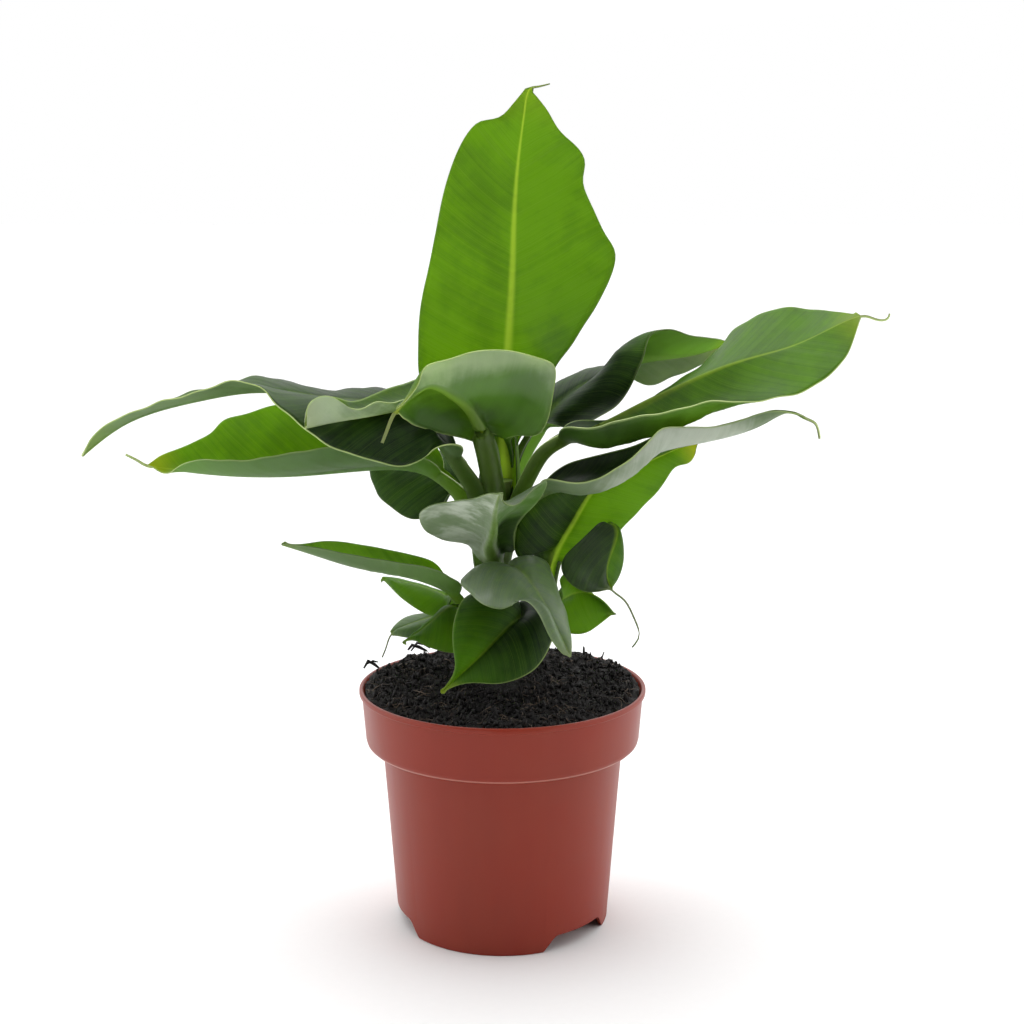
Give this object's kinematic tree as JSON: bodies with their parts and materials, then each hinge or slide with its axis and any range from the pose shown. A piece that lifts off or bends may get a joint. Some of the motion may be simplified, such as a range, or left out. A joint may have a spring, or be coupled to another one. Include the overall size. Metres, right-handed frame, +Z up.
{
  "type": "potted dwarf banana",
  "caption": "Young dwarf banana plant with a short upright stem, arching pointed leaves and small shoots at its foot, growing in a round plastic nursery pot.",
  "frame": {"origin": "middle of the pot's foot, on the surface that the pot stands on", "axes": "+Z up along the pot's axis; -Y towards the front, the side that the picture shows; +X to the right, seen from the front"},
  "size_m": [0.3167, 0.1226, 0.348],
  "materials": {
    "pot_plastic": "satin terracotta-coloured plastic",
    "peat": "dark loose potting soil",
    "stem_green": "smooth fleshy leaf sheaths",
    "leaf_green": "satin leaf, duller and greyer underneath"
  },
  "bodies": {
    "root": {"pot": "pot_plastic", "soil": "peat", "stem": "stem_green", "shoot_left": "stem_green", "shoot_right": "stem_green", "leaf_top": "leaf_green", "leaf_front_cup": "leaf_green", "leaf_front_left": "leaf_green", "leaf_front_grey": "leaf_green", "leaf_left_long": "leaf_green", "leaf_left_lower": "leaf_green", "leaf_left_dark": "leaf_green", "leaf_right_dark": "leaf_green", "leaf_right_big": "leaf_green", "leaf_right_narrow": "leaf_green", "leaf_right_lower": "leaf_green", "leaf_right_hanging": "leaf_green", "leaf_low_front": "leaf_green", "leaf_low_right": "leaf_green", "leaf_heart": "leaf_green", "leaf_low_left_long": "leaf_green", "leaf_low_left_bright": "leaf_green", "leaf_low_left_small": "leaf_green", "leaf_low_left_brown": "leaf_green"}
  },
  "joints": []
}
